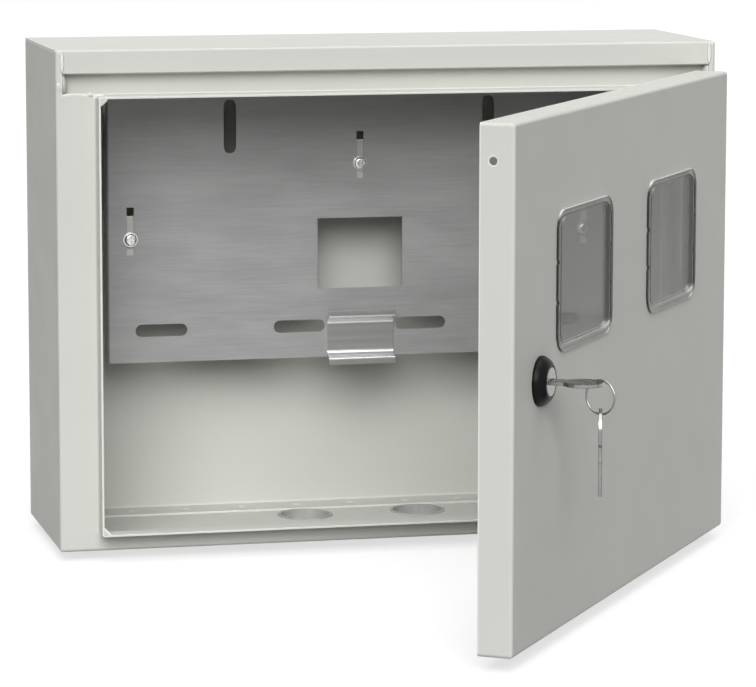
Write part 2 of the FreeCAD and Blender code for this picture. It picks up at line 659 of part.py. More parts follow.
# Cam lock, unlocked: the cam hangs straight down
def make_lock_housing():
    rim = point(LOCK_X + ROSETTE_RADIUS, DOOR_FRONT - ROSETTE_RIM, LOCK_Z)
    top = point(LOCK_X + ROSETTE_TOP, FACE_Y, LOCK_Z)
    crown = (rim + top) * 0.5 + point(ROSETTE_BULGE, -ROSETTE_BULGE, 0)
    root = point(LOCK_X, DOOR_FRONT, LOCK_Z)
    edge = point(LOCK_X + ROSETTE_RADIUS, DOOR_FRONT, LOCK_Z)
    tip = point(LOCK_X, FACE_Y, LOCK_Z)
    edges = [Part.makeLine(root, edge), Part.makeLine(edge, rim), Part.Arc(rim, crown, top).toShape(),
             Part.makeLine(top, tip), Part.makeLine(tip, root)]
    rosette = Part.Face(Part.Wire(edges)).revolve(root, Y_AXIS, 360)
    barrel = rod_y(LOCK_X, LOCK_Z, DOOR_FRONT, CAM_Y - BARREL_BACK, BARREL_RADIUS)
    housing = rosette.fuse(barrel).removeSplitter()
    seat = FACE_Y + FACE_THICK + FACE_FIT
    housing = housing.cut(rod_y(LOCK_X, LOCK_Z, FACE_Y - PAST, seat, FACE_RADIUS + FACE_FIT))
    return housing.cut(rod_y(LOCK_X, LOCK_Z, FACE_Y - PAST, PAST, PLUG_RADIUS + RUN_FIT))


def make_lock_nut():
    y1 = DOOR_INSIDE + NUT_THICK
    nut = hexagon_y(LOCK_X, LOCK_Z, NUT_ACROSS, DOOR_INSIDE, y1)
    return nut.cut(rod_y(LOCK_X, LOCK_Z, DOOR_INSIDE - PAST, y1 + PAST, BARREL_RADIUS))


def make_lock_plug():
    plug = rod_y(LOCK_X, LOCK_Z, FACE_Y, FACE_Y + FACE_THICK, FACE_RADIUS)
    plug = plug.fuse(rod_y(LOCK_X, LOCK_Z, FACE_Y, CAM_Y, PLUG_RADIUS))
    half = CAM_SQUARE / 2
    tail = box(LOCK_X - half, LOCK_X + half, CAM_Y, CAM_Y + CAM_THICK, LOCK_Z - half, LOCK_Z + half)
    plug = plug.fuse(tail).removeSplitter()
    way_x = KEY_BLADE_WIDTH / 2 + KEY_FIT
    way_z = KEY_THICK / 2 + KEY_FIT
    plug = plug.cut(box(LOCK_X - way_x, LOCK_X + way_x, FACE_Y - PAST, FACE_Y + KEY_BLADE + KEY_FIT,
                        LOCK_Z - way_z, LOCK_Z + way_z))
    screw_y = CAM_Y + CAM_THICK - CAM_SCREW_DEEP
    return plug.cut(rod_y(LOCK_X, LOCK_Z, screw_y, CAM_Y + PAST, CAM_SCREW_RADIUS))


def make_lock_cam():
    length = CAM_LENGTH + CAM_WIDTH / 2
    middle = LOCK_Z + CAM_WIDTH / 2 - length / 2
    y1 = CAM_Y + CAM_THICK
    cam = slot_y(LOCK_X, middle, length, CAM_WIDTH, CAM_Y, y1, upright=True)
    half = CAM_SQUARE / 2 + SQUARE_FIT
    return cam.cut(box(LOCK_X - half, LOCK_X + half, CAM_Y - PAST, y1 + PAST, LOCK_Z - half, LOCK_Z + half))


def make_cam_screw():
    head_y = CAM_Y + CAM_THICK
    crest = head_y + CAM_SCREW_RISE
    head = rod_y(LOCK_X, LOCK_Z, head_y, crest, CAM_SCREW_HEAD)
    head = head.makeFillet(CAM_SCREW_RISE / 2, circles_at(head, "y", crest))
    shank = rod_y(LOCK_X, LOCK_Z, head_y - CAM_SCREW_DEEP, head_y, CAM_SCREW_RADIUS)
    screw = head.fuse(shank).removeSplitter()
    return screw.cut(cross_recess(LOCK_X, LOCK_Z, crest - CROSS_DEPTH, crest + PAST))


# Flat key lying along Y: the bow ends at the origin and the blade points to +Y
def make_key():
    half_thick = KEY_THICK / 2
    bow = rod_z(0, BOW_RADIUS, -half_thick, half_thick, BOW_RADIUS)
    neck_end = KEY_LENGTH - KEY_BLADE
    half_neck = KEY_NECK_WIDTH / 2
    key = bow.fuse(box(-half_neck, half_neck, BOW_RADIUS, neck_end, -half_thick, half_thick))
    half_blade = KEY_BLADE_WIDTH / 2
    tip = KEY_LENGTH - half_blade
    key = key.fuse(box(-half_blade, half_blade, neck_end - KEY_NECK, tip, -half_thick, half_thick))
    nose = [point(-half_blade, tip, -half_thick), point(half_blade, tip, -half_thick),
            point(half_blade / 2, KEY_LENGTH, -half_thick), point(-half_blade / 2, KEY_LENGTH, -half_thick)]
    key = key.fuse(Part.Face(Part.makePolygon(nose + nose[:1])).extrude(point(0, 0, KEY_THICK)))
    key = key.removeSplitter()
    for step in range(KEY_NOTCHES):
        y = tip - NOTCH_STEP * (step + 0.5)
        edge = half_blade
        vee = [point(edge, y - NOTCH_DEEP, -PAST), point(edge, y + NOTCH_DEEP, -PAST),
               point(edge - NOTCH_DEEP, y, -PAST)]
        key = key.cut(Part.Face(Part.makePolygon(vee + vee[:1])).extrude(point(0, 0, 2 * PAST)))
    return key.cut(rod_z(0, KEY_WEB + KEY_HOLE / 2, -PAST, PAST, KEY_HOLE / 2))


def make_lock_key():
    key = make_key()
    key.translate(point(LOCK_X, BOW_END_Y, LOCK_Z))
    return key


def make_key_ring():
    ring = Part.makeTorus(RING_RADIUS, RING_WIRE, point(LOCK_X, WEB_Y, RING_Z), X_AXIS)
    ring.rotate(point(LOCK_X, WEB_Y, RING_Z), Z_AXIS, RING_TURN)
    return ring


def make_spare_key():
    key = make_key()
    key.rotate(point(0, 0, 0), X_AXIS, -90)
    key.rotate(point(0, 0, 0), Z_AXIS, SPARE_TURN)
    key.translate(point(LOCK_X, WEB_Y, SPARE_TOP_Z))
    return key


# Earth stud on a sheet that faces the front; root is the sheet's face
def make_stud(x, z, root, length):
    return rod_y(x, z, root - length, root, STUD_RADIUS)


def make_stud_washer(x, z, root):
    washer = rod_y(x, z, root - STUD_WASHER_THICK, root, STUD_WASHER)
    return washer.cut(rod_y(x, z, root - PAST, root + PAST, STUD_RADIUS))


def make_stud_nut(x, z, root):
    nut = hexagon_y(x, z, STUD_NUT_ACROSS, root - STUD_NUT_THICK, root)
    return nut.cut(rod_y(x, z, root - STUD_NUT_THICK - PAST, root + PAST, STUD_RADIUS))


def turned_stud(shape):
    """Stud parts on the door point inward, towards the box."""
    shape.rotate(point(DOOR_EARTH_X, DOOR_INSIDE, 0), Z_AXIS, 180)
    return shape


def make_fixed_parts():
    earth_z = BOTTOM + EARTH_UP
    nut_root = -SHEET - STUD_WASHER_THICK
    return {
        "body_shell": make_body_shell(),
        "roof_panel": make_roof_panel(),
        "back_panel": make_back_panel(),
        "cable_grommet_left": make_grommet(-GROMMET_PITCH / 2),
        "cable_grommet_right": make_grommet(GROMMET_PITCH / 2),
        "mounting_plate": make_mounting_plate(),
        "plate_brackets": Part.makeCompound([make_bracket(x, z) for x, z in fix_points()]),
        "plate_screws": Part.makeCompound([make_plate_screw(x, z) for x, z in fix_points()]),
        "din_rail": make_din_rail(),
        "hinge_bracket_upper": make_hinge_bracket(HINGE_HIGH),
        "hinge_bracket_lower": make_hinge_bracket(HINGE_LOW),
        "hinge_pin_upper": make_hinge_pin(HINGE_HIGH),
        "hinge_pin_lower": make_hinge_pin(HINGE_LOW),
        "earth_stud": make_stud(EARTH_X, earth_z, -SHEET, STUD_LENGTH),
        "earth_washer": make_stud_washer(EARTH_X, earth_z, -SHEET),
        "earth_nut": make_stud_nut(EARTH_X, earth_z, nut_root),
    }


def make_door_parts():
    earth_z = BOTTOM + EARTH_UP
    return {
        "door_panel": make_door_panel(),
        "door_hinge_arm_upper": make_door_arm(HINGE_HIGH),
        "door_hinge_arm_lower": make_door_arm(HINGE_LOW),
        "door_seal": make_door_seal(),
        "window_left": make_window(-PANE_PITCH / 2),
        "window_right": make_window(PANE_PITCH / 2),
        "door_earth_stud": turned_stud(make_stud(DOOR_EARTH_X, earth_z, DOOR_INSIDE, DOOR_STUD_LENGTH)),
        "door_earth_nut": turned_stud(make_stud_nut(DOOR_EARTH_X, earth_z, DOOR_INSIDE)),
        "lock_housing": make_lock_housing(),
        "lock_nut": make_lock_nut(),
        "lock_plug": make_lock_plug(),
        "lock_cam": make_lock_cam(),
        "cam_screw": make_cam_screw(),
        "lock_key": make_lock_key(),
        "key_ring": make_key_ring(),
        "spare_key": make_spare_key(),
    }


def main():
    os.makedirs("parts", exist_ok=True)
    parts = make_fixed_parts()
    hinge = point(HINGE_X, HINGE_Y, 0)
    for node, shape in make_door_parts().items():
        shape.rotate(hinge, Z_AXIS, DOOR_REST)
        parts[node] = shape
    for node, shape in parts.items():
        shape.exportStep("parts/" + node + ".step")


main()
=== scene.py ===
"""Looks of a wall box for two electric meters: finishes, weld beads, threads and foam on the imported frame."""

import json
import math
import random

import bmesh
import bpy
from mathutils import Matrix, Vector


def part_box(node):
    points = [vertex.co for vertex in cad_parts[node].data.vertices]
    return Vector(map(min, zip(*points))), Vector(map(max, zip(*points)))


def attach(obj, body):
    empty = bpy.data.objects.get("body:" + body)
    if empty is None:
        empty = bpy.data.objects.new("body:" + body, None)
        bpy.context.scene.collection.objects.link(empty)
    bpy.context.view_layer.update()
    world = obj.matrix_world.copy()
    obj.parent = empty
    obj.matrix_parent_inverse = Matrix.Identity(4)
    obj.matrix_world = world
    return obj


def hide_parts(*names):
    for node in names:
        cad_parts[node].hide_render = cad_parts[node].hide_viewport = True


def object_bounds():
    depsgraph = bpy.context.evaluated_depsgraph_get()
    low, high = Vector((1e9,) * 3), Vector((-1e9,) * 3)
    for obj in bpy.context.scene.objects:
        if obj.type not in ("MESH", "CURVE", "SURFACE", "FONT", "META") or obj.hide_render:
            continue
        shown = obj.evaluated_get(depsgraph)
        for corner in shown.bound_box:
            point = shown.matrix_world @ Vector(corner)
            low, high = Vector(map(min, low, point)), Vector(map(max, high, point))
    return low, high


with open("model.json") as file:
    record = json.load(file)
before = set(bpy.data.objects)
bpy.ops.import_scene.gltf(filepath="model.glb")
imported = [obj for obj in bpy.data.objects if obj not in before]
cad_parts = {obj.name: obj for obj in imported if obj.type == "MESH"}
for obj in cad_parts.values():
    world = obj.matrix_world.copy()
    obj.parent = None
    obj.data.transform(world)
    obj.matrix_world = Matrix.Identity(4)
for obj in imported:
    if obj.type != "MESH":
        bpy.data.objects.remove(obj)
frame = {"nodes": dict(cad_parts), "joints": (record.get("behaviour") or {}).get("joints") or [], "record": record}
CAD_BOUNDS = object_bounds()
NODES = frame["nodes"]
MM = 0.001
RANDOM = random.Random(7)
X_AXIS = Vector((1, 0, 0))
Y_AXIS = Vector((0, 1, 0))
Z_AXIS = Vector((0, 0, 1))

# Camera, fitted to the photograph: place in metres, angles in radians, focal length in pixels
CAMERA_AT = Vector((-0.55692, -2.45566, 0.31050))
CAMERA_YAW = 0.2314
CAMERA_PITCH = -0.1418
CAMERA_ROLL = 0.0012
FOCAL_PIXELS = 3862.82
IMAGE_WIDTH = 756
SENSOR_WIDTH = 36.0

# Light: an even surround and two soft lights, each with its azimuth, elevation and spread in degrees
# and its level on a white surface that faces it
SURROUND = 0.05
LIGHTS = {
    "front_light": {"azimuth": -14, "elevation": 32, "spread": 44, "level": 0.93},
    "top_light": {"azimuth": 0, "elevation": 85, "spread": 60, "level": 0.54},
}

# Floor: side, gap below the object, tone, and glow that makes it white to the camera
FLOOR_SIZE = 12.0
FLOOR_GAP = 0.2 * MM
FLOOR_TONE = 0.36
FLOOR_GLOW = 0.68

# Sheet sizes of the box that the corners of its nodes don't give
SHEET = 1.2 * MM
LIP_REACH = 13.0 * MM
POST_WIDTH = 25.5 * MM
POST_RISE = 1.8 * MM
STRIP_WIDTH = 4.0 * MM
VISOR_HEIGHT = 14.6 * MM
CORNER_CUT = 4.0 * MM
RAIL_HEIGHT = 12.2 * MM
FLANGE_DEPTH = 26.0 * MM

# Places worked out from the frame
HALF_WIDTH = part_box("body_shell")[1].x
LIP_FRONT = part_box("body_shell")[0].y
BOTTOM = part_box("body_shell")[0].z
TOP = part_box("roof_panel")[1].z
OPEN_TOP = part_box("roof_panel")[0].z
FRONT = LIP_FRONT + LIP_REACH
OPEN_HALF = HALF_WIDTH - POST_WIDTH
OPEN_BOTTOM = BOTTOM + RAIL_HEIGHT
POST_TOP = OPEN_TOP + POST_RISE
VISOR_BOTTOM = TOP - VISOR_HEIGHT
SEAM_X = HALF_WIDTH - STRIP_WIDTH
LIP_FLAT = OPEN_HALF - CORNER_CUT
HINGE = next(joint for joint in frame["joints"] if joint["name"] == "door_hinge")
HINGE_AT = Vector(HINGE["pos_m"])
DOOR_REST = math.radians(-HINGE["range_deg"][0])
OPENED = Matrix.Translation(HINGE_AT) @ Matrix.Rotation(DOOR_REST, 4, "Z") @ Matrix.Translation(-HINGE_AT)

# Weld beads: spacing of their rings and least count, points round a ring, ripple pitch and height,
# swell and sideways drift of an uneven one, and how they close at their ends
BEAD_STEP = 0.45 * MM
BEAD_LEAST_STEPS = 10
BEAD_SIDES = 12
BEAD_PITCH = 1.6 * MM
BEAD_RIPPLE = 0.10
BEAD_SWELL = 0.1
BEAD_DRIFT = 0.12
BEAD_PINCH = 0.02
BEAD_PINCH_POWER = 0.4

# Corners of the right half of the box that the welds run between
CORNERS = {
    "visor_low": (SEAM_X, FRONT, VISOR_BOTTOM),
    "visor_high": (SEAM_X, FRONT, TOP),
    "post_outer": (SEAM_X, FRONT, POST_TOP),
    "post_inner": (OPEN_HALF, FRONT, POST_TOP),
    "lip_upper_side": (OPEN_HALF, LIP_FRONT, OPEN_TOP - CORNER_CUT),
    "lip_upper_flat": (LIP_FLAT, LIP_FRONT, OPEN_TOP),
    "lip_upper_edge": (LIP_FLAT, LIP_FRONT, OPEN_TOP + SHEET),
    "lip_upper_root": (LIP_FLAT, FRONT, OPEN_TOP + SHEET),
    "lip_lower_side": (OPEN_HALF, LIP_FRONT, OPEN_BOTTOM + CORNER_CUT),
    "lip_lower_flat": (LIP_FLAT, LIP_FRONT, OPEN_BOTTOM),
}

# Welds in the order they are laid: each end is a corner and the offset from it in mm, then come the way
# the bead faces, its half width and its height in mm, and how uneven it is
WELDS = [
    (("visor_low", (-0.02, 0, 0.4)), ("visor_high", (-0.02, 0, -1.2)), -Y_AXIS, 1.3, 0.06, 0.5),
    (("post_outer", (-1.8, 6.8, -1.0)), ("visor_low", (0, 4.2, 0.8)), -Y_AXIS, 2.6, 4.4, 0.12),
    (("post_outer", (0.9, 0.4, 0.4)), ("visor_low", (2.6, 0, -5.0)), -Y_AXIS, 1.5, 0.75, 0.4),
    (("post_outer", (0, 0.3, 0)), ("post_inner", (7.0, 0.3, 0)), -Y_AXIS, 0.9, 0.45, 1.0),
    (("post_inner", (6.0, 0.2, 0.3)), ("post_inner", (2.4, 0.2, -0.2)), -Y_AXIS, 1.3, 0.9, 1.0),
    (("lip_upper_side", (0.4, 1.1, -0.6)), ("lip_upper_flat", (-0.8, 1.1, 0.5)), -Y_AXIS, 0.9, 0.95, 1.0),
    (("lip_upper_edge", (0, 0.6, 0)), ("lip_upper_root", (0, 0.4, 0)), Z_AXIS, 1.0, 0.18, 1.0),
    (("lip_lower_side", (0.2, 1.1, 0.4)), ("lip_lower_flat", (-0.4, 1.1, -0.3)), -Y_AXIS, 0.8, 0.9, 1.0),
]

# Spot welds: count and spacing of the row, points round a ring, and profile as (radius, rise)
SPOT_COUNT = 9
SPOT_PITCH = 36.5 * MM
SPOT_SIDES = 18
SPOT_PROFILE = [(2.6 * MM, -0.15 * MM), (2.2 * MM, 0.12 * MM), (1.6 * MM, 0.2 * MM), (1.1 * MM, 0.08 * MM),
                (0.4 * MM, 0.05 * MM)]

# Threads: pitches, share of a pitch that is the depth, points round and along a turn, and the lock's sleeve
STUD_PITCH = 1.0 * MM
LOCK_PITCH = 1.5 * MM
THREAD_DEPTH = 0.55
THREAD_SIDES = 32
THREAD_STEPS = 8
LOCK_THREAD = 9.3 * MM
LOCK_BORE = 8.6 * MM
LOCK_NUT_THICK = 4.0 * MM
LOCK_END_GAP = 0.5 * MM

# Foam strip: width, outer corner radius, rounding of its face, unevenness of its height, and point counts
SEAL_WIDTH = 10.0 * MM
SEAL_CORNER = 12.4 * MM
SEAL_ROUND = 2.5 * MM
SEAL_WAVE = 0.12 * MM
SEAL_CORNER_STEPS = 8
SEAL_RUN_STEPS = 28
SEAL_ROUND_STEPS = 5

# Angles in degrees above which an edge stays sharp
METAL_SHARP = 40
FOAM_SHARP = 60

# Rays that soften normals: for relief, and for finding edges
RELIEF_SAMPLES = 6
EDGE_SAMPLES = 8


def rgb(red, green, blue):
    return red, green, blue, 1


def feed(owner, value, socket):
    """A socket set to a fixed value, or linked from an output."""
    if isinstance(value, bpy.types.NodeSocket):
        owner.node_tree.links.new(value, socket)
    else:
        socket.default_value = value


def set_inputs(owner, node, **values):
    """Inputs of a node by name, with _ for a space."""
    for name, value in values.items():
        feed(owner, value, node.inputs[name.replace("_", " ")])


def add(owner, kind, **values):
    """New node of a material or world with its inputs set by name."""
    node = owner.node_tree.nodes.new(kind)
    set_inputs(owner, node, **values)
    return node


def calculate(owner, operation, *values):
    """Result of a Math node."""
    node = add(owner, "ShaderNodeMath")
    node.operation = operation
    for value, socket in zip(values, node.inputs):
        feed(owner, value, socket)
    return node.outputs["Value"]


def agreement(material, first, second):
    """Dot product of two directions."""
    node = add(material, "ShaderNodeVectorMath")
    node.operation = "DOT_PRODUCT"
    feed(material, first, node.inputs[0])
    feed(material, second, node.inputs[1])
    return node.outputs["Value"]


def new_material(name):
    """Node material with its Principled shader and object coordinates."""
    material = bpy.data.materials.new(name)
    material.use_nodes = True
    shader = material.node_tree.nodes["Principled BSDF"]
    place = add(material, "ShaderNodeTexCoord").outputs["Object"]
    return material, shader, place


def noise(material, place, scale=1.0, detail=2.0, stretch=None):
    """Noise texture value; stretch scales the axes for a grain."""
    if stretch is not None:
        place = add(material, "ShaderNodeMapping", Scale=stretch, Vector=place).outputs["Vector"]
    return add(material, "ShaderNodeTexNoise", Scale=scale, Detail=detail, Vector=place).outputs["Fac"]


def ranged(material, value, low, high, start=0.3, end=0.7):
    """Value spread over low to high; noise mostly lies between the usual start and end."""
    node = add(material, "ShaderNodeMapRange", Value=value, From_Min=start, From_Max=end,
               To_Min=low, To_Max=high)
    return node.outputs["Result"]


def blend(material, share, first, second):
    """Colour between two, each a fixed colour or an output."""
    node = add(material, "ShaderNodeMix")
    node.data_type = "RGBA"
    sockets = [socket for socket in node.inputs if socket.type == "RGBA"]
    feed(material, first, sockets[0])
    feed(material, second, sockets[1])
    feed(material, share, node.inputs["Factor"])
    return next(socket for socket in node.outputs if socket.type == "RGBA")


def softened(material, radius, samples):
    """Normal that turns over an edge within a radius."""
    node = add(material, "ShaderNodeBevel", Radius=radius)
    node.samples = samples
    return node.outputs["Normal"]


def relief(material, height, strength, depth, edge):
    """Normal of a surface relief over edges softened to a radius."""
    node = add(material, "ShaderNodeBump", Strength=strength, Distance=depth, Height=height,
               Normal=softened(material, edge, RELIEF_SAMPLES))
    return node.outputs["Normal"]


def edge_mask(material, radius, flat, sharp):
    """0 on flats to 1 on edges, from how far a softened normal turns away."""
    soft = softened(material, radius, EDGE_SAMPLES)
    normal = add(material, "ShaderNodeNewGeometry").outputs["Normal"]
    return ranged(material, agreement(material, soft, normal), 0, 1, start=flat, end=sharp)


def powder_coat():
    """Pale grey powder paint with fine orange peel, and bends painted paler as a painted highlight."""
    material, shader, place = new_material("powder_coat")
    tone = noise(material, place, scale=5.0, detail=3.0)
    paint = blend(material, ranged(material, tone, 0, 1), rgb(0.592, 0.600, 0.560), rgb(0.622, 0.629, 0.588))
    # Bends painted paler: a painted highlight along rounded edges, standing in for the glints of glossy paint.
    painted_bend_highlight = edge_mask(material, radius=2.0 * MM, flat=0.995, sharp=0.92)
    sheen = noise(material, place, scale=45.0)
    peel = noise(material, place, scale=620.0)
    set_inputs(material, shader,
               Base_Color=blend(material, painted_bend_highlight, paint, rgb(0.80, 0.80, 0.77)),
               Roughness=ranged(material, sheen, 0.40, 0.50),
               Specular_IOR_Level=0.05,
               Normal=relief(material, peel, strength=0.22, depth=0.25 * MM, edge=0.5 * MM))
    return material


def galvanised():
    """Rolled zinc-coated sheet with fine level grain."""
    material, shader, place = new_material("galvanised")
    grain = noise(material, place, detail=8.0, stretch=(40, 40, 1500))
    cloud = noise(material, place, scale=26.0, detail=4.0, stretch=(0.6, 1, 1.6))
    mixed = calculate(material, "ADD", ranged(material, grain, 0, 0.45), ranged(material, cloud, 0, 0.55))
    set_inputs(material, shader,
               Base_Color=blend(material, mixed, rgb(0.29, 0.29, 0.29), rgb(0.40, 0.40, 0.40)),
               Roughness=ranged(material, grain, 0.40, 0.54),
               Metallic=0.35,
               Normal=relief(material, grain, strength=0.10, depth=0.05 * MM, edge=0.25 * MM))
    return material


def plated(name, dark, light, edge_shade, metallic, rough, stretch, strength):
    """Plated metal with drawing marks along one way, and edges painted darker as painted shade."""
    material, shader, place = new_material(name)
    marks = noise(material, place, detail=4.0, stretch=stretch)
    plating = blend(material, ranged(material, marks, 0, 1), dark, light)
    # Edges painted a darker tone: painted shade where the rounding of an edge turns from the light.
    edges = edge_mask(material, radius=0.8 * MM, flat=0.985, sharp=0.80)
    set_inputs(material, shader,
               Base_Color=blend(material, edges, plating, edge_shade),
               Roughness=ranged(material, marks, *rough),
               Metallic=metallic,
               Normal=relief(material, marks, strength=strength, depth=0.04 * MM, edge=0.25 * MM))
    return material


def clear_plastic():
    """Clear smoky window plastic with painted shade on its rims and a painted highlight on its upward-facing
    ledge, a little wavy from the mould.
    """
    material, shader, place = new_material("clear_plastic")
    cloud = noise(material, place, scale=30.0)
    smoke = blend(material, ranged(material, cloud, 0, 1), rgb(0.35, 0.355, 0.34), rgb(0.39, 0.395, 0.38))
    facing = add(material, "ShaderNodeTexCoord").outputs["Normal"]
    ahead = OPENED.to_3x3() @ -Y_AXIS
    flat = calculate(material, "ABSOLUTE", agreement(material, facing, ahead))
    # Rims painted near black and less see-through: painted shade along the window's edges.
    painted_rim_shade = ranged(material, flat, 0, 1, start=0.95, end=0.55)
    upward = add(material, "ShaderNodeSeparateXYZ", Vector=facing).outputs["Z"]
    # Upward-facing ledge painted pale and less clear: a painted highlight of light from above.
    painted_ledge_highlight = ranged(material, upward, 0, 1, start=0.45, end=0.85)
    rim_painted_dark = blend(material, painted_rim_shade, smoke, rgb(0.012, 0.012, 0.012))
    haze = noise(material, place, scale=70.0)
    wave = noise(material, place, scale=40.0, detail=1.0)
    set_inputs(material, shader,
               Base_Color=blend(material, painted_ledge_highlight, rim_painted_dark, rgb(0.92, 0.92, 0.90)),
               Roughness=ranged(material, haze, 0.02, 0.07),
               Transmission_Weight=ranged(material, painted_ledge_highlight, 1.0, 0.25, start=0, end=1),
               Alpha=ranged(material, painted_rim_shade, 0.55, 0.95, start=0, end=1),
               IOR=1.02,
               Coat_Weight=1.0,
               Coat_IOR=1.20,
               Coat_Roughness=0.04,
               Normal=relief(material, wave, strength=0.05, depth=0.2 * MM, edge=0.4 * MM))
    return material


def black_plastic():
    """Glossy black moulding."""
    material, shader, place = new_material("black_plastic")
    tone = noise(material, place, scale=90.0)
    skin = noise(material, place, scale=500.0)
    set_inputs(material, shader,
               Base_Color=blend(material, tone, rgb(0.003, 0.003, 0.003), rgb(0.007, 0.007, 0.007)),
               Roughness=ranged(material, tone, 0.26, 0.36),
               Specular_IOR_Level=0.09,
               Normal=relief(material, skin, strength=0.05, depth=0.1 * MM, edge=0.3 * MM))
    return material


def soft_rubber(name, dark, light, rough, scale, strength):
    """Matt moulded rubber or foam: scale gives its fine skin, and clouds four times as large."""
    material, shader, place = new_material(name)
    tone = noise(material, place, scale=scale / 4, detail=4.0)
    skin = noise(material, place, scale=scale, detail=3.0)
    set_inputs(material, shader,
               Base_Color=blend(material, ranged(material, tone, 0, 1), dark, light),
               Roughness=ranged(material, tone, *rough),
               Normal=relief(material, skin, strength=strength, depth=0.3 * MM, edge=0.4 * MM))
    return material


FINISHES = {
    "powder_coat": powder_coat(),
    "galvanised": galvanised(),
    # Zinc edges painted darker than the plating: painted shade.
    "zinc": plated("zinc", dark=rgb(0.78, 0.78, 0.785), light=rgb(0.84, 0.84, 0.845),
                   edge_shade=rgb(0.60, 0.60, 0.60), metallic=0.85, rough=(0.18, 0.24), stretch=(6, 160, 320),
                   strength=0.01),
    "clear_plastic": clear_plastic(),
    "black_plastic": black_plastic(),
    # Nickel edges painted near black: painted shade along rounded edges.
    "nickel": plated("nickel", dark=rgb(0.27, 0.265, 0.26), light=rgb(0.33, 0.325, 0.315),
                     edge_shade=rgb(0.02, 0.02, 0.02), metallic=0.9, rough=(0.22, 0.30), stretch=(90, 90, 160),
                     strength=0.02),
    "grey_rubber": soft_rubber("grey_rubber", dark=rgb(0.36, 0.36, 0.35), light=rgb(0.44, 0.44, 0.42),
                               rough=(0.49, 0.61), scale=600.0, strength=0.15),
    "black_foam": soft_rubber("black_foam", dark=rgb(0.012, 0.012, 0.012), light=rgb(0.035, 0.035, 0.034),
                              rough=(0.84, 0.96), scale=1500.0, strength=0.6),
}


def dress_nodes():
    """Each CAD node gets the finish of its material slot."""
    for subpart in frame["record"]["subparts"]:
        node = NODES[subpart["node"]]
        for slot in node.material_slots:
            slot.material = FINISHES[subpart["material_slot"]]


def shut_box(node):
    """Lowest and highest corner of a node of the door, with the door shut."""
    shut = OPENED.inverted()
    places = [shut @ vertex.co for vertex in NODES[node].data.vertices]
    low = Vector([min(place[axis] for place in places) for axis in range(3)])
    high = Vector([max(place[axis] for place in places) for axis in range(3)])
    return low, high


def ellipse(middle, first, second, sides):
    """Ring of points round a middle, with two half axes."""
    turns = [math.tau * index / sides for index in range(sides)]
    return [middle + math.cos(turn) * first + math.sin(turn) * second for turn in turns]


def mesh_through(name, strips, closed=False, sharp=METAL_SHARP):
    """Mesh of strips, each through its rings of points: capped at both ends, or joined end to end."""
    work = bmesh.new()
    for rings in strips:
        loops = [[work.verts.new(place) for place in ring] for ring in rings]
        pairs = list(zip(loops, loops[1:]))
        if closed:
            pairs.append((loops[-1], loops[0]))
        else:
            work.faces.new(loops[0])
            work.faces.new(loops[-1])
        for near, far in pairs:
            for index in range(len(near)):
                work.faces.new((near[index - 1], near[index], far[index], far[index - 1]))
    bmesh.ops.recalc_face_normals(work, faces=work.faces)
    mesh = bpy.data.meshes.new(name)
    work.to_mesh(mesh)
    work.free()
    mesh.shade_smooth()
    mesh.set_sharp_from_angle(angle=math.radians(sharp))
    return mesh


def add_piece(mesh, body, slot, *replaced):
    """Object of a mesh that rides on a body, has a slot's finish and may stand for CAD nodes."""
    piece = bpy.data.objects.new(mesh.name, mesh)
    bpy.context.scene.collection.objects.link(piece)
    mesh.materials.append(FINISHES[slot])
    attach(piece, body)
    if replaced:
        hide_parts(*replaced)


def bead(start, end, normal, across, proud, uneven):
    """Rings of a hand-laid weld: rippled, uneven, pinched at its ends and half sunk in the sheet."""
    run = end - start
    side = run.cross(normal).normalized()
    steps = max(BEAD_LEAST_STEPS, round(run.length / BEAD_STEP))
    rings = []
    for step in range(steps + 1):
        share = step / steps
        pinch = max(math.sin(math.pi * share), BEAD_PINCH) ** BEAD_PINCH_POWER
        ripple = 1 + uneven * BEAD_RIPPLE * math.sin(math.tau * share * run.length / BEAD_PITCH)
        size = pinch * ripple * (1 + uneven * RANDOM.uniform(-BEAD_SWELL, BEAD_SWELL))
        drift = uneven * RANDOM.uniform(-BEAD_DRIFT, BEAD_DRIFT) * across
        middle = start + run * share + side * drift
        rings.append(ellipse(middle, size * across * side, size * proud * normal, BEAD_SIDES))
    return rings


def add_welds():
    """Painted welds where the roof meets the body: visor ends, post tops and the mouth's corners."""
    for name, side in (("left", -1), ("right", 1)):
        beads = []
        for *ends, normal, across, proud, uneven in WELDS:
            places = []
            for corner, offset in ends:
                x, y, z = (value + shift * MM for value, shift in zip(CORNERS[corner], offset))
                places.append(Vector((side * x, y, z)))
            beads.append(bead(*places, normal, across * MM, proud * MM, uneven))
        add_piece(mesh_through("welds_" + name, beads), "box", "powder_coat")


def add_spot_welds():
    """Row of spot-weld rings on the back panel's lower flange."""
    level = BOTTOM + 2 * SHEET
    strips = []
    for number in range(SPOT_COUNT):
        x = (number - (SPOT_COUNT - 1) / 2) * SPOT_PITCH
        rings = []
        for radius, rise in SPOT_PROFILE:
            middle = Vector((x, -FLANGE_DEPTH / 2, level + rise))
            rings.append(ellipse(middle, radius * X_AXIS, radius * Y_AXIS, SPOT_SIDES))
        strips.append(rings)
    add_piece(mesh_through("spot_welds", strips), "box", "powder_coat")


def thread(x, z, y0, y1, radius, pitch):
    """Rings of a thread along Y, with its ends chamfered."""
    depth = THREAD_DEPTH * pitch
    length = y1 - y0
    steps = round(length / pitch * THREAD_STEPS)
    rings = []
    for step in range(steps + 1):
        along = length * step / steps
        from_end = min(along, length - along)
        ring = []
        for index in range(THREAD_SIDES):
            share = index / THREAD_SIDES
            phase = (along / pitch + share) % 1
            reach = min(radius - depth * abs(2 * phase - 1), radius - depth + from_end)
            turn = math.tau * share
            ring.append(Vector((x + reach * math.cos(turn), y0 + along, z + reach * math.sin(turn))))
        rings.append(ring)
    return rings


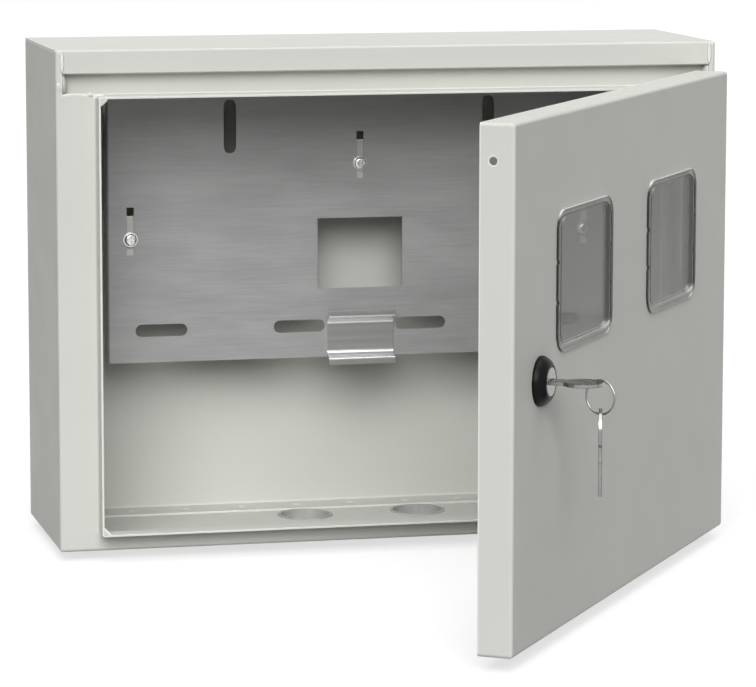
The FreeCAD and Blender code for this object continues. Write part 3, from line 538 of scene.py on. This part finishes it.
def add_studs():
    """Threaded earth studs on the back panel and inside the door."""
    for node, body, corners in (("earth_stud", "box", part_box("earth_stud")),
                                ("door_earth_stud", "door", shut_box("door_earth_stud"))):
        low, high = corners
        middle = (low + high) / 2
        rings = thread(middle.x, middle.z, low.y, high.y, (high.x - low.x) / 2, STUD_PITCH)
        mesh = mesh_through(node + "_thread", [rings])
        if body == "door":
            mesh.transform(OPENED)
        add_piece(mesh, body, "zinc", node)


def add_lock_thread():
    """Threaded sleeve on the lock's barrel, from its nut to its end."""
    nut_low, nut_high = shut_box("lock_nut")
    middle = (nut_low + nut_high) / 2
    start = nut_low.y + LOCK_NUT_THICK
    end = shut_box("lock_housing")[1].y - LOCK_END_GAP
    rings = thread(middle.x, middle.z, start, end, LOCK_THREAD, LOCK_PITCH)
    for y in (end, start):
        bore = Vector((middle.x, y, middle.z))
        rings.append(ellipse(bore, LOCK_BORE * X_AXIS, LOCK_BORE * Z_AXIS, THREAD_SIDES))
    mesh = mesh_through("lock_thread", [rings], closed=True)
    mesh.transform(OPENED)
    add_piece(mesh, "door", "black_plastic")


def seal_outline(low, high, inset):
    """Points (x, z) round the seal, inset from its outer edge, with round corners."""
    radius = SEAL_CORNER - inset
    left, right = low.x + SEAL_CORNER, high.x - SEAL_CORNER
    under, over = low.z + SEAL_CORNER, high.z - SEAL_CORNER
    corners = []
    for number, (x, z) in enumerate(((right, under), (right, over), (left, over), (left, under))):
        corner = []
        for step in range(SEAL_CORNER_STEPS + 1):
            turn = math.pi / 2 * (number - 1 + step / SEAL_CORNER_STEPS)
            corner.append((x + radius * math.cos(turn), z + radius * math.sin(turn)))
        corners.append(corner)
    points = []
    for corner, following in zip(corners, corners[1:] + corners[:1]):
        points += corner
        start, end = corner[-1], following[0]
        for step in range(1, SEAL_RUN_STEPS):
            share = step / SEAL_RUN_STEPS
            points.append((start[0] + (end[0] - start[0]) * share, start[1] + (end[1] - start[1]) * share))
    return points


def seal_profile(height):
    """Section of the foam strip as (inset, rise): flat foot and a rounded face."""
    section = [(0, 0)]
    level = height - SEAL_ROUND
    for middle, start in ((SEAL_ROUND, 180), (SEAL_WIDTH - SEAL_ROUND, 90)):
        for step in range(SEAL_ROUND_STEPS + 1):
            turn = math.radians(start - 90 * step / SEAL_ROUND_STEPS)
            section.append((middle + SEAL_ROUND * math.cos(turn), level + SEAL_ROUND * math.sin(turn)))
    section.append((SEAL_WIDTH, 0))
    return section


def add_foam_seal():
    """Soft foam strip round the inside of the door, a little uneven in height."""
    low, high = shut_box("door_seal")
    height = high.y - low.y - SEAL_WAVE
    count = len(seal_outline(low, high, 0))
    waves = [RANDOM.uniform(-SEAL_WAVE, SEAL_WAVE) for _ in range(count)]
    rings = []
    for inset, rise in seal_profile(height):
        outline = zip(seal_outline(low, high, inset), waves)
        rings.append([Vector((x, low.y + rise + wave * rise / height, z)) for (x, z), wave in outline])
    mesh = mesh_through("foam_seal", [rings], closed=True, sharp=FOAM_SHARP)
    mesh.transform(OPENED)
    add_piece(mesh, "door", "black_foam", "door_seal")


def add_camera():
    """Camera at the photograph's place and angle."""
    cos_pitch = math.cos(CAMERA_PITCH)
    ahead = Vector((math.sin(CAMERA_YAW) * cos_pitch, math.cos(CAMERA_YAW) * cos_pitch,
                    math.sin(CAMERA_PITCH)))
    level = Vector((math.cos(CAMERA_YAW), -math.sin(CAMERA_YAW), 0))
    upward = level.cross(ahead)
    right = math.cos(CAMERA_ROLL) * level + math.sin(CAMERA_ROLL) * upward
    up = math.cos(CAMERA_ROLL) * upward - math.sin(CAMERA_ROLL) * level
    lens = bpy.data.cameras.new("camera")
    lens.sensor_fit = "HORIZONTAL"
    lens.sensor_width = SENSOR_WIDTH
    lens.lens = FOCAL_PIXELS * SENSOR_WIDTH / IMAGE_WIDTH
    camera = bpy.data.objects.new("camera", lens)
    turned = Matrix((right, up, -ahead)).transposed().to_4x4()
    camera.matrix_world = Matrix.Translation(CAMERA_AT) @ turned
    bpy.context.scene.collection.objects.link(camera)
    bpy.context.scene.camera = camera


def seen_directly(owner):
    """1 for rays that show the background: straight from the camera, mirrored or through glass."""
    path = add(owner, "ShaderNodeLightPath").outputs
    first = calculate(owner, "MAXIMUM", path["Is Camera Ray"], path["Is Glossy Ray"])
    return calculate(owner, "MAXIMUM", first, path["Is Transmission Ray"])


def add_surround():
    """Surround that looks white and lights the object faintly from all sides."""
    world = bpy.data.worlds.new("surround")
    world.use_nodes = True
    level = add(world, "ShaderNodeMapRange", Value=seen_directly(world), To_Min=SURROUND, To_Max=1.0)
    background = world.node_tree.nodes["Background"]
    set_inputs(world, background, Color=rgb(1, 1, 1), Strength=level.outputs["Result"])
    bpy.context.scene.world = world


def add_lights():
    """Soft lights far away, so that they fall evenly on the object and the floor."""
    for name, facts in LIGHTS.items():
        azimuth, elevation = math.radians(facts["azimuth"]), math.radians(facts["elevation"])
        toward = Vector((math.sin(azimuth) * math.cos(elevation), -math.cos(azimuth) * math.cos(elevation),
                         math.sin(elevation)))
        lamp = bpy.data.lights.new(name, "SUN")
        lamp.energy = facts["level"] * math.pi
        lamp.angle = math.radians(facts["spread"])
        light = bpy.data.objects.new(name, lamp)
        light.rotation_euler = toward.to_track_quat("Z", "Y").to_euler()
        bpy.context.scene.collection.objects.link(light)


def add_floor():
    """Pale floor just under the object, white where nothing shades it."""
    mesh = bpy.data.meshes.new("floor")
    half = FLOOR_SIZE / 2
    level = CAD_BOUNDS[0][2] - FLOOR_GAP
    corners = [(-half, -half, level), (half, -half, level), (half, half, level), (-half, half, level)]
    mesh.from_pydata(corners, [], [(0, 1, 2, 3)])
    floor = bpy.data.objects.new("floor", mesh)
    bpy.context.scene.collection.objects.link(floor)
    material = bpy.data.materials.new("floor")
    material.use_nodes = True
    set_inputs(material, material.node_tree.nodes["Principled BSDF"],
               Base_Color=rgb(FLOOR_TONE, FLOOR_TONE, FLOOR_TONE),
               Roughness=0.9,
               Specular_IOR_Level=0.0,
               Emission_Color=rgb(1, 1, 1),
               Emission_Strength=calculate(material, "MULTIPLY", seen_directly(material), FLOOR_GLOW))
    mesh.materials.append(material)


bpy.context.scene.view_settings.view_transform = "Standard"
dress_nodes()
add_welds()
add_spot_welds()
add_studs()
add_lock_thread()
add_foam_seal()
add_camera()
add_surround()
add_lights()
add_floor()
